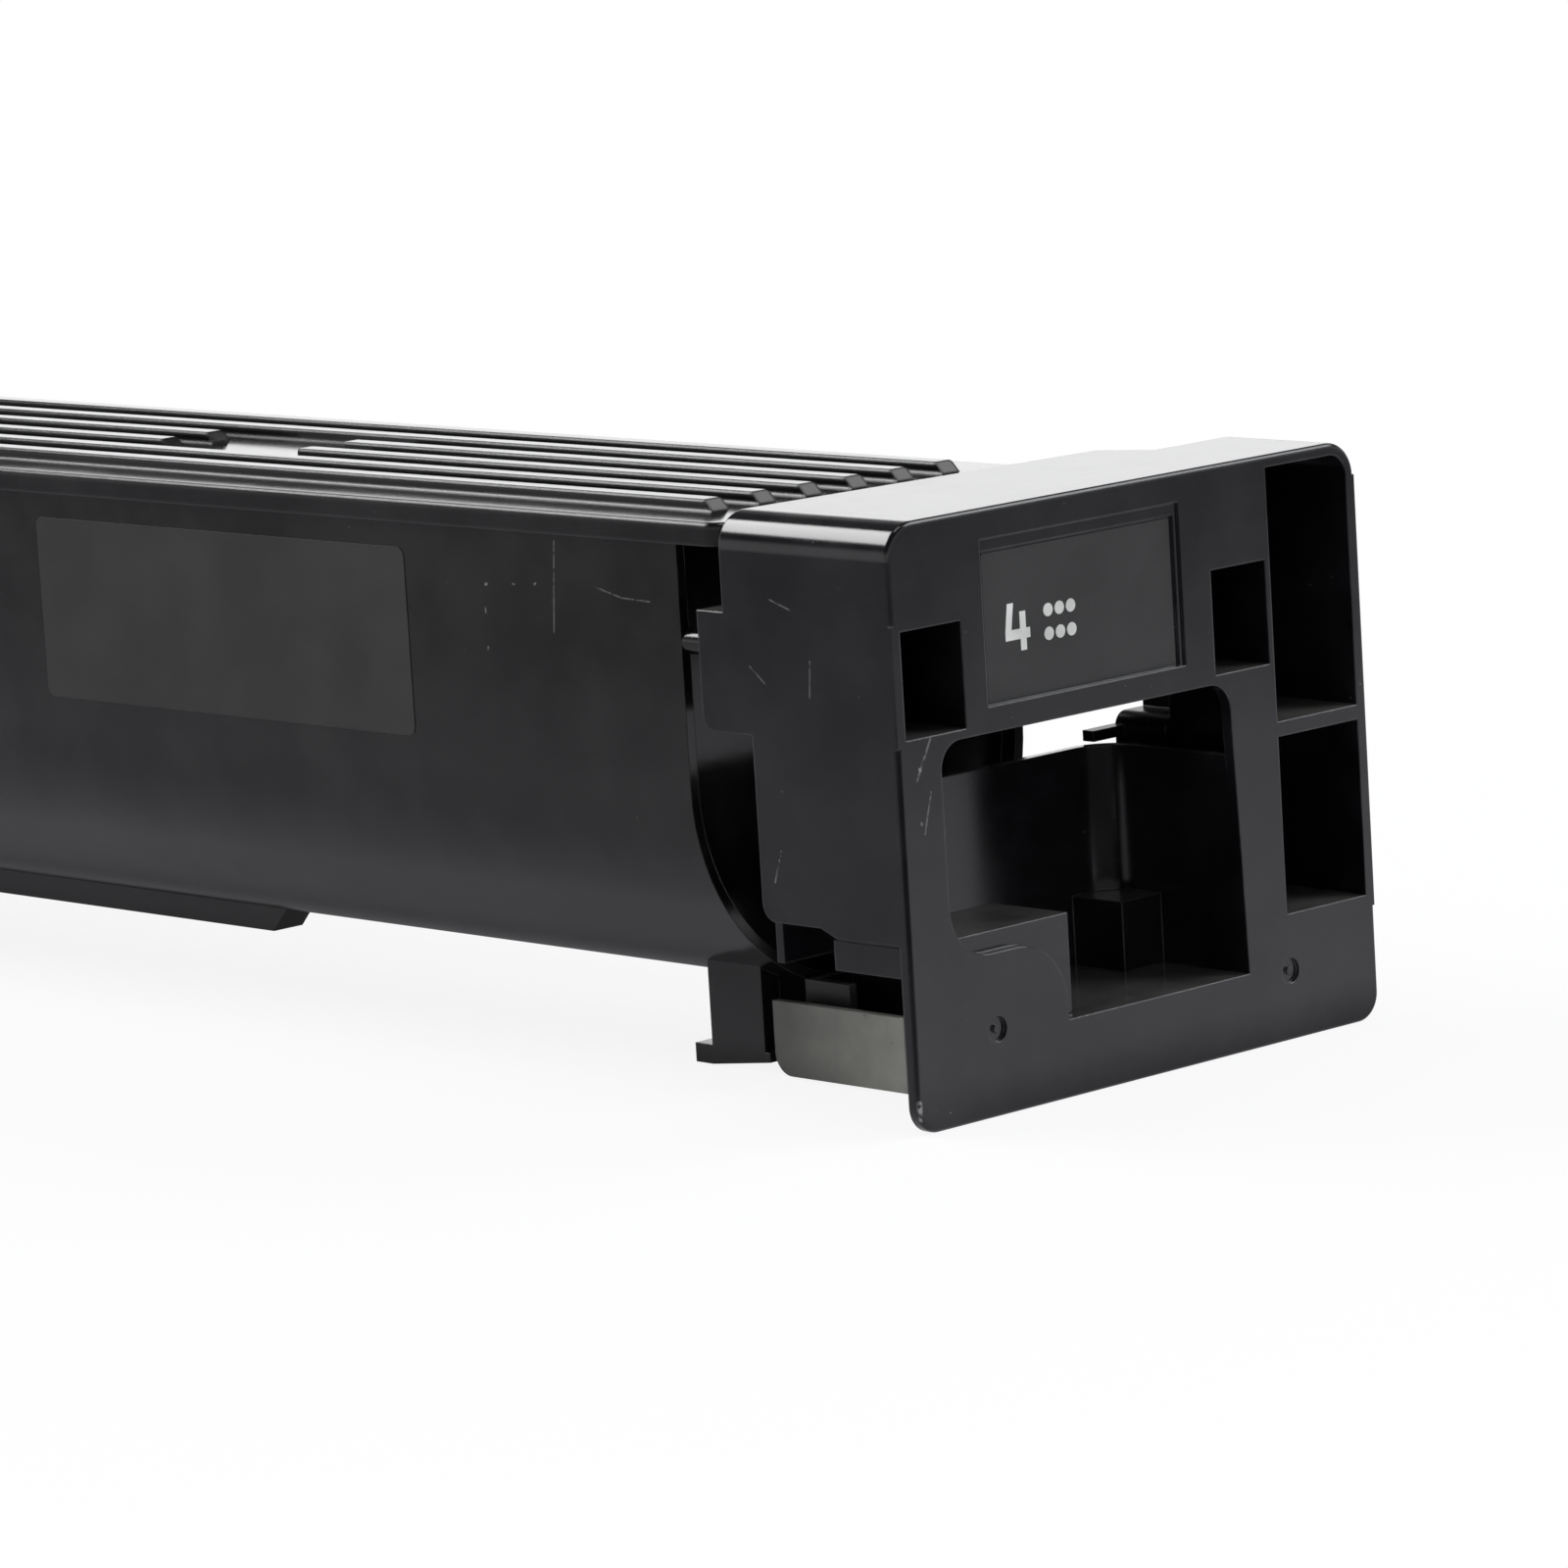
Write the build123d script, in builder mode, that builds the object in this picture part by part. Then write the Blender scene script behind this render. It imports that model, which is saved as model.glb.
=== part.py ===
"""Long toner cartridge: gripped front cover, ribbed lid, U-shaped hopper and sliding outlet shutter.

Millimetres. X runs across the face, Y from the face to the rear end and Z up from the resting surface.
The origin is on the resting surface, in the middle of the front face.
"""

import os
from math import acos, cos, pi, radians, sin, tan

from build123d import *

os.makedirs("parts", exist_ok=True)

# Front cover, one moulding
plate_width = 130.0
plate_height = 117.0
plate_thickness = 2.5
plate_corner = 7.0
plate_foot_corner = 5.5
plate_edge_round = 0.9
cover_wall = 2.4
well_wall = 1.4
hood_depth = 46.0
hood_mid_depth = 39.5
hood_mid_inset = 5.0
skirt_foot = 36.6
skirt_rear_foot = 38.2
skirt_low_depth = 39.7
skirt_corner = 3.5

# Screw wells in the face
well_low = 75.8
well_high = 96.5
left_well_width = 16.1
right_well_width = 15.5
well_corner = 3.0
well_screw_inset = 3.4
well_screw_drop = 6.9

# Tall pockets beside the grip
pocket_edge = 38.0
pocket_depth = 28.0
pocket_floor = 25.4
shelf_top = 64.0
shelf_thickness = 3.0

# Label field
label_inset = 24.7
label_right_gap = 8.2
label_low = 79.0
label_high = 111.0
label_frame = 2.4
label_step = 0.5
label_depth = 1.0

# Grip opening and the pocket behind it
grip_inset = 11.3
grip_right = 26.0
grip_right_foot = 27.9
grip_top = 74.0
grip_floor = 15.4
grip_upper_corner = 5.5
grip_sill = 31.8
grip_sill_corner = 10.4
grip_sill_round = 13.0
grip_notch_width = 30.5
grip_depth = 37.0
grip_wall = 2.0
grip_wall_top = 59.0
grip_inner_corner = 8.0
ledge_top = 35.6
ledge_overhang = 3.5
ledge_depth = 23.0
ledge_lip = 29.7
corner_block_width = 11.2
corner_block_y = 23.4
corner_block_top = 29.6

# Gate marks on the face
gate_radius = 2.5
gate_depth = 0.8
gate_nub = 0.8
gate_left_inset = 22.3
gate_left_z = 17.0
gate_right_x = 39.6
gate_right_z = 14.0

# Hopper, a trough with a round bottom
trough_inset = 4.0
trough_far_inset = 7.0
trough_foot = 15.3
trough_wall = 2.2
trough_top = 111.2
hopper_front = 62.5
hopper_length = 384.0
hopper_rim = 4.0
end_wall = 2.5
keel_width = 8.0
keel_foot = 9.4
keel_start = 244.5
keel_slope = 7.5

# Guide foot under the hopper
guide_width = 5.0
guide_start = 69.3
guide_end = 91.0
guide_post_start = 70.7
guide_post_end = 86.0
guide_foot = 0.3
guide_flange = 4.2

# Lid
lid_overhang = 1.2
lid_rim = 1.4
lid_thickness = 3.2
lid_fall = 1.2
lid_front = 48.5
lid_front_lip = 2.0
lid_edge_round = 0.9
lid_corner = 4.5
lid_fit = 0.2
rib_count = 6
rib_pitch = 12.66
rib_width = 4.8
rib_height = 2.3
rib_round = 0.7
rib_start = 64.5
rib_rear_margin = 20.0
rib_gap_start = 219.5
rib_gap_length = 43.5

# Screws and their bosses
screw_radius = 1.5
screw_head_radius = 3.0
screw_head_height = 2.2
screw_length = 10.0
boss_radius = 3.4
cover_boss_radius = 2.6
cover_boss_length = 13.2
pilot_play = 0.05
screw_play = 0.2
outlet_screw_offset = 13.5
outlet_screw_z = 39.0
boss_floor = 1.5

# Auger and its tube
auger_z = 26.5
auger_radius = 6.5
auger_play = 0.6
auger_pitch = 19.0
auger_end_gap = 2.0
flight_thickness = 1.8
shaft_radius = 3.0
shaft_flat = 2.2
shaft_play = 0.05
tube_wall = 1.6
tube_front = 40.5
tube_end_wall = 3.0

# Outlet, its rails and the shutter
outlet_width = 14.0
outlet_length = 14.0
outlet_start = 45.2
neck_wall = 2.0
neck_foot = 4.2
rail_start = 31.0
rail_end = 64.5
rail_half_width = 22.5
rail_foot = 8.6
rail_thickness = 2.4
rail_fin_offset = 18.6
rail_fin_top = 19.4
rail_fin_start = 49.0
rail_fin_end = 61.5
flange_top = 44.0
flange_half_width = 17.5
flange_thickness = 2.5
flange_corner = 4.0
seal_thickness = 1.3
seal_margin = 2.5
shutter_start = 29.0
shutter_end = 66.0
shutter_floor = 2.0
shutter_wall = 1.8
shutter_top = 15.6
shutter_far_top = 12.7
shutter_lip = 3.2
shutter_lip_thickness = 1.2
shutter_play = 0.3
shutter_corner = 4.5

# Agitator
agitator_clearance = 2.5
agitator_core = 4.5
agitator_start = 80.0
agitator_end_margin = 14.0
paddle_count = 8
paddle_bar = 8.0
paddle_rim = 5.0
paddle_thickness = 2.4
film_reach = 5.0
film_thickness = 0.5
film_seat = 12.0
film_slit = 1.5
film_slit_depth = 16.0
stake_radius = 1.3
stake_height = 1.4
stake_play = 0.2

# Bushes, seals and the gear train
bush_radius = 5.0
bush_flange_radius = 6.6
bush_flange = 1.5
bush_cap = 1.5
bush_gap = 0.3
seal_radius = 6.8
seal_length = 3.0
seal_play = 0.3
collar_wall = 1.6
gear_module = 1.0
gear_face = 6.0
gear_gap = 0.6
agitator_teeth = 48
auger_teeth = 34
drive_teeth = 16
gear_backlash = 0.12
pressure_angle = 20.0
web_thickness = 2.5
rim_thickness = 2.6
hub_radius = 5.5
drive_angle = 25.0
spindle_radius = 2.0
spindle_seat = 6.0
spindle_boss_radius = 4.5
coupling_radius = 8.4
coupling_wall = 1.8
coupling_lugs = 3
coupling_inset = 1.5

# Rear cap
cap_depth = 23.5
cap_wall = 2.4
cap_apron = 1.5
cap_top_drop = 0.4
cap_foot_inset = 10.0
cap_foot_height = 40.0
cap_corner = 4.0
cap_edge_round = 2.0
cap_post_radius = 4.8
cap_seat = 3.2
cap_screw_drop = 10.2
cap_screw_high_offset = 35.0
cap_screw_low = 46.0
cap_screw_low_offset = 32.0
cap_screw_play = 0.4
coupling_clearance = 0.8

# Filler plug behind the cover
filler_drop = 17.2
filler_radius = 9.0
plug_flange = 1.8
plug_flange_margin = 2.0
plug_wall = 1.6
plug_depth = 6.0

# Memory chip and its stepped holder
holder_left = 36.5
holder_inset = 5.6
holder_depth = 13.9
holder_foot = 46.0
holder_top = 63.5
holder_corner = 3.0
holder_step_x = 44.8
holder_step_top = 72.0
holder_shelf_left = 27.5
holder_shelf_top = 61.1
holder_shelf_thickness = 2.2
holder_shelf_depth = 3.0
chip_width = 8.0
chip_height = 14.0
chip_thickness = 1.2
chip_recess = 0.8
chip_play = 0.2

# Sizes that follow from those above
face_half = plate_width / 2
skirt_inside = face_half - cover_wall
left_well_edge = left_well_width - skirt_inside
right_well_edge = pocket_edge - right_well_width
label_left = label_inset - face_half
label_right = right_well_edge - label_right_gap
grip_left = grip_inset - face_half
grip_notch = grip_left + grip_notch_width
ledge_right = grip_notch + ledge_overhang
front_wall = hopper_front + hopper_rim
well_depth = front_wall - cover_boss_length
front_wall_inside = front_wall + end_wall
hopper_rear = hopper_front + hopper_length
rear_wall = hopper_rear - end_wall
trough_left = trough_inset - face_half
trough_right = pocket_edge - trough_far_inset
trough_x = (trough_left + trough_right) / 2
trough_radius = (trough_right - trough_left) / 2
trough_z = trough_foot + trough_radius
trough_bore = trough_radius - trough_wall
guide_x = trough_x - trough_radius / 2
lid_rim_foot = trough_top - lid_rim
lid_top = trough_top + lid_thickness
cap_top = lid_top - cap_top_drop
filler_z = trough_top - filler_drop
lid_left = trough_left - lid_overhang
lid_right = trough_right + lid_overhang
tube_bore = auger_radius + auger_play
tube_radius = tube_bore + tube_wall
outlet_end = outlet_start + outlet_length
shutter_half_width = rail_half_width + shutter_play + shutter_wall
shutter_floor_top = neck_foot - seal_thickness - shutter_play
shaft_bore = shaft_radius + shaft_play
pilot_radius = screw_radius + pilot_play
screw_hole_radius = screw_radius + screw_play
agitator_z = auger_z + gear_module * (agitator_teeth + auger_teeth) / 2
agitator_radius = agitator_z - auger_z - auger_radius - agitator_clearance
paddle_radius = agitator_radius - film_reach
agitator_end = rear_wall - agitator_end_margin
gear_start = hopper_rear + bush_flange + gear_gap
gear_end = gear_start + gear_face
cap_rear = hopper_rear + cap_depth
drive_distance = gear_module * (agitator_teeth + drive_teeth) / 2
drive_x = trough_x + drive_distance * cos(radians(drive_angle))
drive_z = agitator_z + drive_distance * sin(radians(drive_angle))
holder_right = skirt_inside - holder_inset
cover_screw_places = [
    ((left_well_edge - skirt_inside) / 2, well_high - well_screw_drop),
    (right_well_edge + well_screw_inset, well_high - well_screw_drop),
]
outlet_screw_places = [
    (trough_x - outlet_screw_offset, outlet_screw_z),
    (trough_x + outlet_screw_offset, outlet_screw_z),
]
cap_screw_places = [
    (trough_x - cap_screw_high_offset, trough_top - cap_screw_drop),
    (trough_x + cap_screw_high_offset, trough_top - cap_screw_drop),
    (trough_x - cap_screw_low_offset, cap_screw_low),
    (trough_x + cap_screw_low_offset, cap_screw_low),
]


def section(y, x=0, z=0):
    """Upright plane across the cartridge, y behind the face, looking from the front."""
    return Plane(origin=(x, y, z), x_dir=(1, 0, 0), z_dir=(0, -1, 0))


def upright(x_low, x_high, z_low, z_high, mode=Mode.ADD):
    """Rectangle in a sketch, given by its four edges."""
    with Locations(((x_low + x_high) / 2, (z_low + z_high) / 2)):
        Rectangle(x_high - x_low, z_high - z_low, mode=mode)


def wall(x_low, x_high, y_low, y_high, z_low, z_high, mode=Mode.ADD):
    """Flat wall or straight cut-out in a part, given by its six faces."""
    with Locations(((x_low + x_high) / 2, (y_low + y_high) / 2, (z_low + z_high) / 2)):
        Box(x_high - x_low, y_high - y_low, z_high - z_low, mode=mode)


def rod(x, z, y_low, y_high, radius, mode=Mode.ADD):
    """Round bar or bore along Y."""
    with Locations(Location((x, (y_low + y_high) / 2, z), (90, 0, 0))):
        Cylinder(radius, y_high - y_low, mode=mode)


def finish(piece, label):
    """Name a finished piece and write it out."""
    piece.part.label = label
    export_step(piece.part, "parts/" + label + ".step")


# Outline of the face, and the cross-section of the trough

with BuildSketch() as face_outline:
    upright(-face_half, face_half, 0, plate_height)
    fillet(face_outline.vertices().group_by(Axis.Y)[-1], plate_corner)
    fillet(face_outline.vertices().group_by(Axis.Y)[0], plate_foot_corner)

with BuildSketch() as trough_outline:
    upright(trough_left, trough_right, trough_z, trough_top)
    with Locations((trough_x, trough_z)):
        Circle(trough_radius)

# The gripped front cover

with BuildPart() as front_cover:
    with BuildSketch(section(0)):
        add(face_outline.sketch)
    extrude(amount=-plate_thickness)
    # Top wall with its rounded shoulders, cut back in steps towards the far side
    with BuildSketch(section(0)):
        add(face_outline.sketch)
        offset(amount=-cover_wall, mode=Mode.SUBTRACT)
        upright(-face_half, face_half, 0, plate_height - plate_corner, mode=Mode.SUBTRACT)
    extrude(amount=-hood_depth)
    fillet(front_cover.edges().group_by(Axis.Y)[0], plate_edge_round)
    with BuildSketch(Plane.XY.offset(plate_height - plate_corner)):
        with BuildLine():
            Polyline(
                (-skirt_inside, hood_depth),
                (pocket_edge - hood_mid_inset, hood_mid_depth),
                (pocket_edge, pocket_depth),
                (face_half, pocket_depth),
                (face_half, hood_depth),
                close=True,
            )
        make_face()
    extrude(amount=plate_corner, mode=Mode.SUBTRACT)
    # Near side wall, lower towards the face
    with BuildSketch(Plane.YZ.offset(-face_half)) as near_skirt:
        with BuildLine():
            Polyline(
                (plate_thickness / 2, skirt_foot),
                (skirt_low_depth / 2, skirt_foot),
                (skirt_low_depth * 0.6, skirt_rear_foot),
                (skirt_low_depth, skirt_rear_foot),
                (skirt_low_depth, well_low),
                (hood_depth, well_low),
                (hood_depth, plate_height - plate_corner),
                (plate_thickness / 2, plate_height - plate_corner),
                close=True,
            )
        make_face()
        rear_corner = near_skirt.vertices().sort_by_distance((skirt_low_depth, skirt_rear_foot))[0]
        fillet(rear_corner, skirt_corner)
    extrude(amount=cover_wall)
    # Tall pockets beside the grip, with the shelf between them
    wall(pocket_edge, face_half, 0, pocket_depth, pocket_floor - cover_wall, plate_height - plate_corner)
    wall(pocket_edge, skirt_inside, 0, pocket_depth, plate_height - plate_corner, plate_height - cover_wall)
    with BuildSketch(section(0)) as pockets:
        upright(pocket_edge + well_wall, skirt_inside, shelf_top, plate_height - cover_wall)
        far_corner = pockets.vertices().sort_by_distance((skirt_inside, plate_height))[0]
        fillet(far_corner, plate_corner - cover_wall)
        upright(pocket_edge + well_wall, skirt_inside, pocket_floor, shelf_top - shelf_thickness)
    extrude(amount=cover_wall - pocket_depth, mode=Mode.SUBTRACT)
    # Screw wells that reach back to the hopper's bosses
    wall(-face_half, left_well_edge + well_wall, 0, well_depth, well_low - well_wall, well_high + well_wall)
    wall(
        right_well_edge - well_wall,
        pocket_edge + well_wall,
        0,
        well_depth,
        well_low - well_wall,
        well_high + well_wall,
    )
    upright_faces = front_cover.faces().filter_by(Axis.Y)
    well_ends = upright_faces.filter_by(lambda face: abs(face.center().Y - well_depth) < 0.1)
    fillet(well_ends.edges().filter_by(Axis.X).group_by(Axis.Z)[0], well_corner)
    for well_left, well_right in ((-skirt_inside, left_well_edge), (right_well_edge, pocket_edge)):
        wall(well_left, well_right, 0, well_depth - cover_wall, well_low, well_high, Mode.SUBTRACT)
    for screw_x, screw_z in cover_screw_places:
        rod(screw_x, screw_z, 0, well_depth, screw_hole_radius, Mode.SUBTRACT)
    # Label field: a shallow frame with a deeper panel in it
    wall(label_left, label_right, 0, label_step, label_low, label_high, Mode.SUBTRACT)
    wall(
        label_left,
        label_right - label_frame / 2,
        0,
        label_depth,
        label_low,
        label_high - label_frame,
        Mode.SUBTRACT,
    )
    # Ledge for the fingertips, hollow from below
    wall(-skirt_inside, ledge_right, plate_thickness, ledge_depth, grip_floor - grip_wall, ledge_top)
    wall(
        grip_wall - skirt_inside,
        ledge_right - grip_wall,
        plate_thickness + grip_wall,
        ledge_depth,
        0,
        ledge_top - grip_wall,
        Mode.SUBTRACT,
    )
    wall(-skirt_inside, grip_wall - skirt_inside, plate_thickness, ledge_depth, 0, ledge_lip, Mode.SUBTRACT)
    # Grip opening through the face
    with BuildSketch(section(0)) as grip:
        with BuildLine():
            Polyline(
                (grip_left, grip_top),
                (grip_left, grip_sill),
                (grip_notch, grip_sill),
                (grip_notch, grip_floor),
                (grip_right_foot, grip_floor),
                (grip_right, grip_top),
                close=True,
            )
        make_face()
        fillet(grip.vertices().group_by(Axis.Y)[-1], grip_upper_corner)
        fillet(grip.vertices().sort_by_distance((grip_left, grip_sill))[0], grip_sill_corner)
        fillet(grip.vertices().sort_by_distance((grip_notch, grip_sill))[0], grip_sill_round)
    extrude(amount=-plate_thickness, mode=Mode.SUBTRACT)
    # Back wall between the near side wall and the pocket, above the ledge
    wall(-skirt_inside, ledge_right, grip_depth, grip_depth + grip_wall, ledge_lip, grip_wall_top)
    # Floor, side wall and back wall of the grip pocket, round in the far corner
    base_left = ledge_right - grip_wall
    with BuildSketch(Plane.XY.offset(grip_floor - grip_wall)) as grip_base:
        upright(base_left, grip_right_foot + grip_wall, plate_thickness / 2, grip_depth + grip_wall)
        base_corner = grip_base.vertices().sort_by_distance((grip_right_foot, grip_depth))[0]
        fillet(base_corner, grip_inner_corner + grip_wall)
    extrude(amount=grip_wall)
    with BuildSketch(mode=Mode.PRIVATE) as grip_inside:
        upright(base_left, grip_right_foot, 0, grip_depth)
        inside_corner = grip_inside.vertices().sort_by_distance((grip_right_foot, grip_depth))[0]
        fillet(inside_corner, grip_inner_corner)
    with BuildSketch(Plane.XY.offset(grip_floor - grip_wall)) as grip_walls:
        upright(base_left, grip_right_foot + grip_wall, plate_thickness / 2, grip_depth + grip_wall)
        wall_corner = grip_walls.vertices().sort_by_distance((grip_right_foot, grip_depth))[0]
        fillet(wall_corner, grip_inner_corner + grip_wall)
        add(grip_inside.sketch, mode=Mode.SUBTRACT)
    extrude(amount=grip_wall_top - grip_floor + grip_wall)
    wall(
        grip_right_foot - corner_block_width,
        grip_right_foot,
        corner_block_y,
        grip_depth,
        grip_floor,
        corner_block_top,
    )
    # Gate marks, each a dimple with the stub of the gate in it
    for gate_x, gate_z in ((gate_left_inset - face_half, gate_left_z), (gate_right_x, gate_right_z)):
        rod(gate_x, gate_z, 0, gate_depth, gate_radius, Mode.SUBTRACT)
        rod(gate_x, gate_z, gate_depth / 3, gate_depth, gate_nub)
finish(front_cover, "front_cover")

# The hopper

with BuildPart() as hopper_body:
    with BuildSketch(section(hopper_front)):
        add(trough_outline.sketch)
        with Locations((trough_x, trough_z)):
            Circle(trough_bore, mode=Mode.SUBTRACT)
        upright(trough_x - trough_bore, trough_x + trough_bore, trough_z, trough_top, mode=Mode.SUBTRACT)
    extrude(amount=-hopper_length)
    for wall_start in (front_wall, rear_wall):
        with BuildSketch(section(wall_start)):
            add(trough_outline.sketch)
        extrude(amount=-end_wall)
    # Keel along the rear half, sloped at its front end
    with BuildSketch(Plane.YZ.offset(trough_x)):
        with BuildLine():
            Polyline(
                (keel_start, keel_foot),
                (hopper_rear, keel_foot),
                (hopper_rear, trough_z - trough_bore),
                (keel_start - keel_slope, trough_z - trough_bore),
                close=True,
            )
        make_face()
    extrude(amount=keel_width / 2, both=True)
    # Guide foot: a post on a runner that rises towards the front
    with BuildSketch(Plane.YZ.offset(guide_x)):
        with BuildLine():
            Polyline(
                (guide_start, (guide_foot + guide_flange) / 2),
                (guide_start, guide_flange),
                (guide_post_start, guide_flange),
                (guide_post_start, trough_z - trough_bore * 0.86),
                (guide_post_end, trough_z - trough_bore * 0.86),
                (guide_post_end, guide_flange),
                (guide_end, guide_flange),
                (guide_end, guide_foot),
                (guide_post_end, guide_foot),
                close=True,
            )
        make_face()
    extrude(amount=guide_width)
    rod(trough_x, trough_z, front_wall_inside, rear_wall, trough_bore, Mode.SUBTRACT)
    # Bosses for the cover's screws, in front of the front wall
    for screw_x, screw_z in cover_screw_places:
        rod(screw_x, screw_z, well_depth, front_wall_inside, cover_boss_radius)
        rod(screw_x, screw_z, well_depth, front_wall, pilot_radius, Mode.SUBTRACT)
    # Blind bosses behind it for the screws of the outlet housing
    outlet_boss_end = front_wall - flange_thickness + screw_length + boss_floor
    for screw_x, screw_z in outlet_screw_places:
        rod(screw_x, screw_z, front_wall, outlet_boss_end, boss_radius)
        rod(screw_x, screw_z, front_wall, outlet_boss_end - boss_floor, pilot_radius, Mode.SUBTRACT)
    # Blind bosses inside the rear wall for the rear cap's screws and the drive spindle
    cap_boss_start = hopper_rear + cap_seat - screw_length - boss_floor
    for screw_x, screw_z in cap_screw_places:
        rod(screw_x, screw_z, cap_boss_start, hopper_rear, boss_radius)
        rod(screw_x, screw_z, cap_boss_start + boss_floor, hopper_rear, pilot_radius, Mode.SUBTRACT)
    rod(drive_x, drive_z, hopper_rear - spindle_seat - boss_floor, gear_start - gear_gap, spindle_boss_radius)
    rod(drive_x, drive_z, hopper_rear - spindle_seat, gear_start, spindle_radius, Mode.SUBTRACT)
    # Collars for the shaft seals, and the bores for bushes, auger tube and filler plug
    for shaft_z in (auger_z, agitator_z):
        rod(trough_x, shaft_z, rear_wall - seal_length, rear_wall, seal_radius + collar_wall)
        rod(trough_x, shaft_z, rear_wall - seal_length, rear_wall, seal_radius, Mode.SUBTRACT)
        rod(trough_x, shaft_z, rear_wall, hopper_rear, bush_radius, Mode.SUBTRACT)
    rod(trough_x, agitator_z, front_wall, front_wall_inside, bush_radius, Mode.SUBTRACT)
    rod(trough_x, auger_z, front_wall, front_wall_inside, tube_bore, Mode.SUBTRACT)
    rod(trough_x, filler_z, front_wall, front_wall_inside, filler_radius, Mode.SUBTRACT)
finish(hopper_body, "hopper_body")

# The ribbed lid, which falls slightly towards the far side

with BuildPart() as top_lid:
    with BuildSketch(section(lid_front)):
        with BuildLine():
            Polyline(
                (lid_left, lid_rim_foot),
                (lid_left, lid_top),
                (lid_right, lid_top - lid_fall),
                (lid_right, lid_rim_foot),
                close=True,
            )
        make_face()
    extrude(amount=lid_front - hopper_rear)
    front_corners = top_lid.edges().filter_by(Axis.Z).group_by(Axis.Y)[0]
    fillet(front_corners, lid_corner)
    lid_brim = top_lid.faces().sort_by(Axis.Z)[-1].edges()
    fillet(lid_brim.filter_by(lambda edge: edge.center().Y < hopper_rear - lid_corner), lid_edge_round)
    with BuildSketch(Plane.XY.offset(lid_rim_foot)) as lid_inside:
        lip_end = lid_front + lid_front_lip
        upright(trough_left - lid_fit, trough_right + lid_fit, lip_end, hopper_rear + lid_corner)
        fillet(lid_inside.vertices().group_by(Axis.Y)[0], lid_corner - lid_front_lip / 2)
    extrude(amount=lid_rim, mode=Mode.SUBTRACT)
    for rib_index in range(rib_count):
        rib_x = trough_x + (rib_index - (rib_count - 1) / 2) * rib_pitch
        rib_foot = lid_top - lid_fall * (rib_x - lid_left) / (lid_right - lid_left)
        rib_spans = [(rib_start, hopper_rear - rib_rear_margin)]
        if rib_index in (rib_count // 2 - 1, rib_count // 2):
            rib_spans = [
                (rib_start, rib_gap_start),
                (rib_gap_start + rib_gap_length, hopper_rear - rib_rear_margin),
            ]
        for span_start, span_end in rib_spans:
            with BuildSketch(Plane.YZ.offset(rib_x - rib_width / 2)):
                with BuildLine():
                    Polyline(
                        (span_start, rib_foot - rib_height / 2),
                        (span_start, rib_foot),
                        (span_start + rib_height, rib_foot + rib_height),
                        (span_end, rib_foot + rib_height),
                        (span_end, rib_foot - rib_height / 2),
                        close=True,
                    )
                make_face()
            extrude(amount=rib_width)
    long_edges = top_lid.edges().filter_by(Axis.Y)
    rib_crests = long_edges.filter_by(lambda crest: crest.center().Z > lid_top + rib_height / 4)
    fillet(rib_crests, rib_round)
finish(top_lid, "top_lid")

# Discharge tube, outlet neck and the rails of the shutter, one moulding

with BuildPart() as outlet_housing:
    rod(trough_x, auger_z, tube_front, front_wall, tube_radius)
    with BuildSketch(section(front_wall - flange_thickness)) as flange:
        upright(trough_x - flange_half_width, trough_x + flange_half_width, auger_z, flange_top)
        fillet(flange.vertices(), flange_corner)
    extrude(amount=-flange_thickness)
    wall(
        trough_x - outlet_width / 2 - neck_wall,
        trough_x + outlet_width / 2 + neck_wall,
        outlet_start - neck_wall,
        outlet_end + neck_wall,
        neck_foot,
        auger_z,
    )
    wall(
        trough_x - rail_half_width,
        trough_x + rail_half_width,
        rail_start,
        rail_end,
        rail_foot,
        rail_foot + rail_thickness,
    )
    for fin_side in (-1, 1):
        fin_x = trough_x + fin_side * rail_fin_offset
        wall(
            fin_x - neck_wall / 2,
            fin_x + neck_wall / 2,
            rail_fin_start,
            rail_fin_end,
            rail_foot + rail_thickness,
            rail_fin_top,
        )
    wall(
        trough_x - rail_fin_offset,
        trough_x + rail_fin_offset,
        outlet_end,
        outlet_end + neck_wall,
        rail_foot,
        rail_fin_top,
    )
    rod(trough_x, auger_z, tube_front + tube_end_wall, front_wall, tube_bore, Mode.SUBTRACT)
    rod(trough_x, auger_z, tube_front, tube_front + tube_end_wall, bush_radius, Mode.SUBTRACT)
    wall(
        trough_x - outlet_width / 2,
        trough_x + outlet_width / 2,
        outlet_start,
        outlet_end,
        neck_foot,
        auger_z,
        Mode.SUBTRACT,
    )
    for screw_x, screw_z in outlet_screw_places:
        rod(screw_x, screw_z, front_wall - flange_thickness, front_wall, screw_hole_radius, Mode.SUBTRACT)
finish(outlet_housing, "outlet_housing")

with BuildPart() as outlet_seal:
    with BuildSketch(Plane.XY.offset(neck_foot - seal_thickness)) as seal_frame:
        upright(
            trough_x - outlet_width / 2 - seal_margin,
            trough_x + outlet_width / 2 + seal_margin,
            outlet_start - seal_margin,
            outlet_end + seal_margin,
        )
        fillet(seal_frame.vertices(), seal_margin)
        upright(
            trough_x - outlet_width / 2,
            trough_x + outlet_width / 2,
            outlet_start,
            outlet_end,
            mode=Mode.SUBTRACT,
        )
    extrude(amount=seal_thickness)
finish(outlet_seal, "outlet_seal")

# Sliding shutter, a channel that hangs on the rails by its lips

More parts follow.
